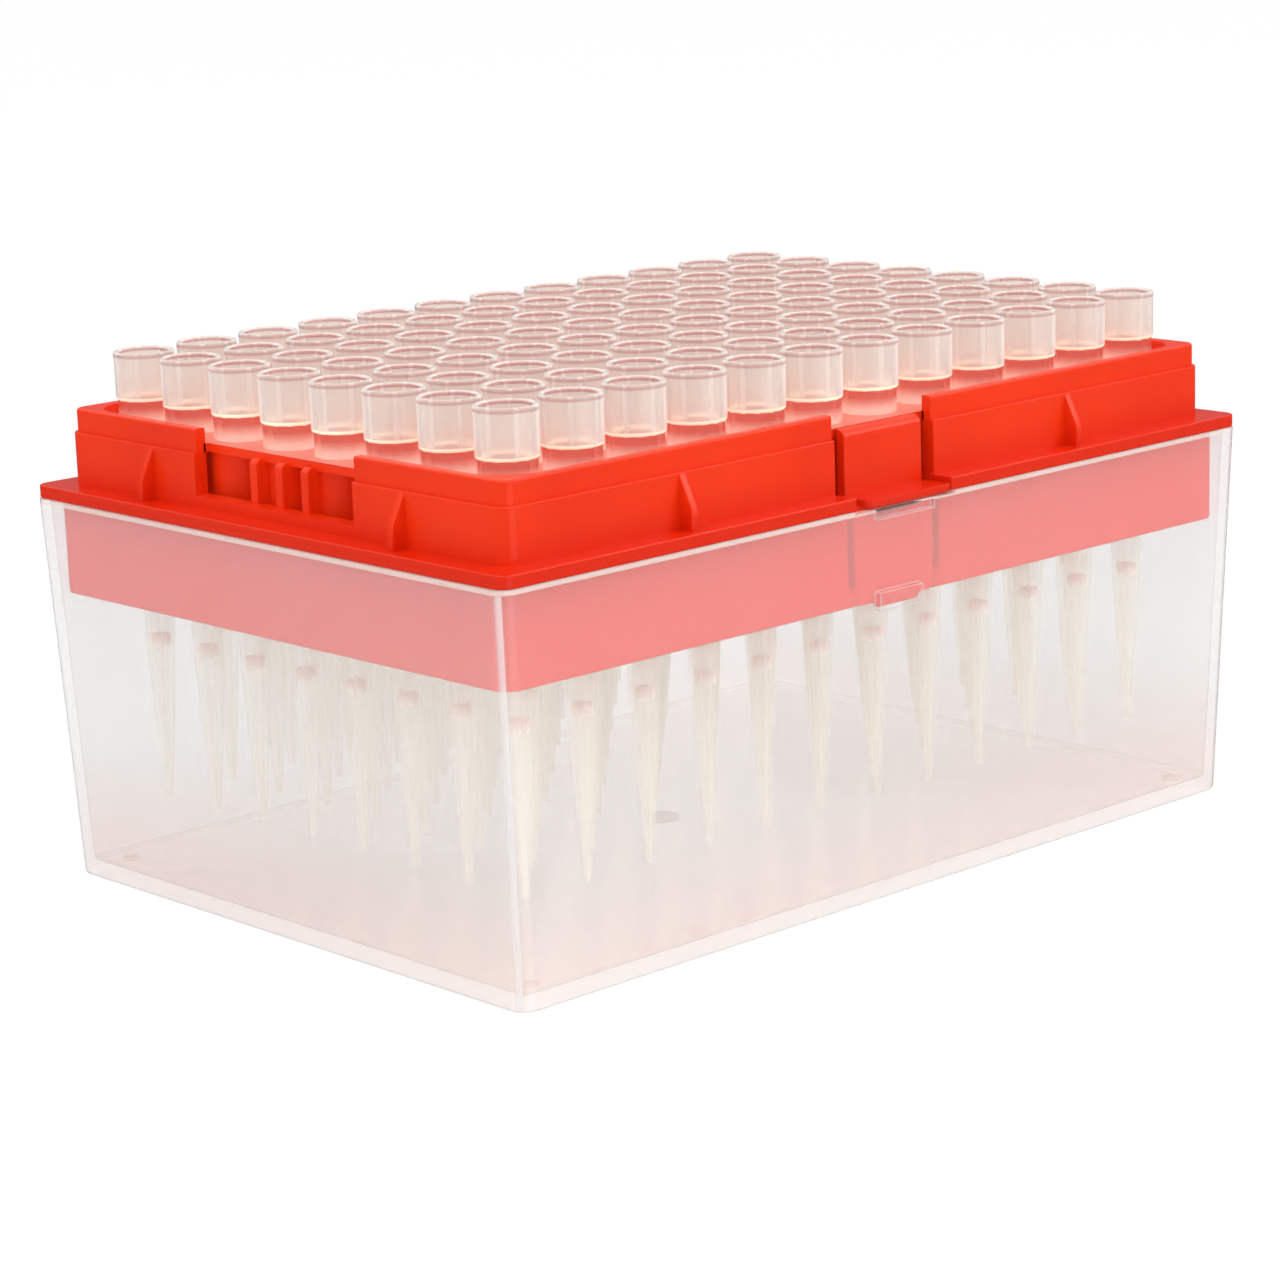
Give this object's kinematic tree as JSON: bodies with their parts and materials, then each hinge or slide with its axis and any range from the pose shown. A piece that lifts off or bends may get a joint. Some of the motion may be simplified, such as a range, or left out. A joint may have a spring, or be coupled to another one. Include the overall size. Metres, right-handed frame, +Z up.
{
  "type": "pipette tip box",
  "caption": "Open box of filtered pipette tips: a translucent tub with a snap-in rack that holds the tips upright on a rectangular grid.",
  "frame": {"origin": "centre of the tub's underside, on the surface that the box stands on", "axes": "+X along the long side, +Y along the short side towards the back latch, +Z up, out of the tips' mouths"},
  "size_m": [0.119, 0.0822, 0.0622],
  "materials": {
    "tub_clear": "translucent natural polypropylene, smooth",
    "rack_red": "glossy moulded plastic",
    "tip_clear": "translucent natural polypropylene, polished",
    "filter_white": "porous sintered plug"
  },
  "bodies": {
    "box": {"tub": "tub_clear", "rack": "rack_red", "tips_column_01": "tip_clear", "tips_column_02": "tip_clear", "tips_column_03": "tip_clear", "tips_column_04": "tip_clear", "tips_column_05": "tip_clear", "tips_column_06": "tip_clear", "tips_column_07": "tip_clear", "tips_column_08": "tip_clear", "tips_column_09": "tip_clear", "tips_column_10": "tip_clear", "tips_column_11": "tip_clear", "tips_column_12": "tip_clear", "filters_column_01": "filter_white", "filters_column_02": "filter_white", "filters_column_03": "filter_white", "filters_column_04": "filter_white", "filters_column_05": "filter_white", "filters_column_06": "filter_white", "filters_column_07": "filter_white", "filters_column_08": "filter_white", "filters_column_09": "filter_white", "filters_column_10": "filter_white", "filters_column_11": "filter_white", "filters_column_12": "filter_white"},
    "latch_front": {"latch_tab_front": "rack_red"},
    "latch_back": {"latch_tab_back": "rack_red"}
  },
  "joints": [
    {"name": "latch_front_flex", "type": "hinge", "parent": "box", "child": "latch_front", "pos_m": [0, -0.0369, 0.0529], "axis": [1, 0, 0], "range_deg": [0, 2.5], "stiffness_Nm_per_rad": 0.02},
    {"name": "latch_back_flex", "type": "hinge", "parent": "box", "child": "latch_back", "pos_m": [0, 0.0369, 0.0529], "axis": [-1, 0, 0], "range_deg": [0, 2.5], "stiffness_Nm_per_rad": 0.02}
  ]
}
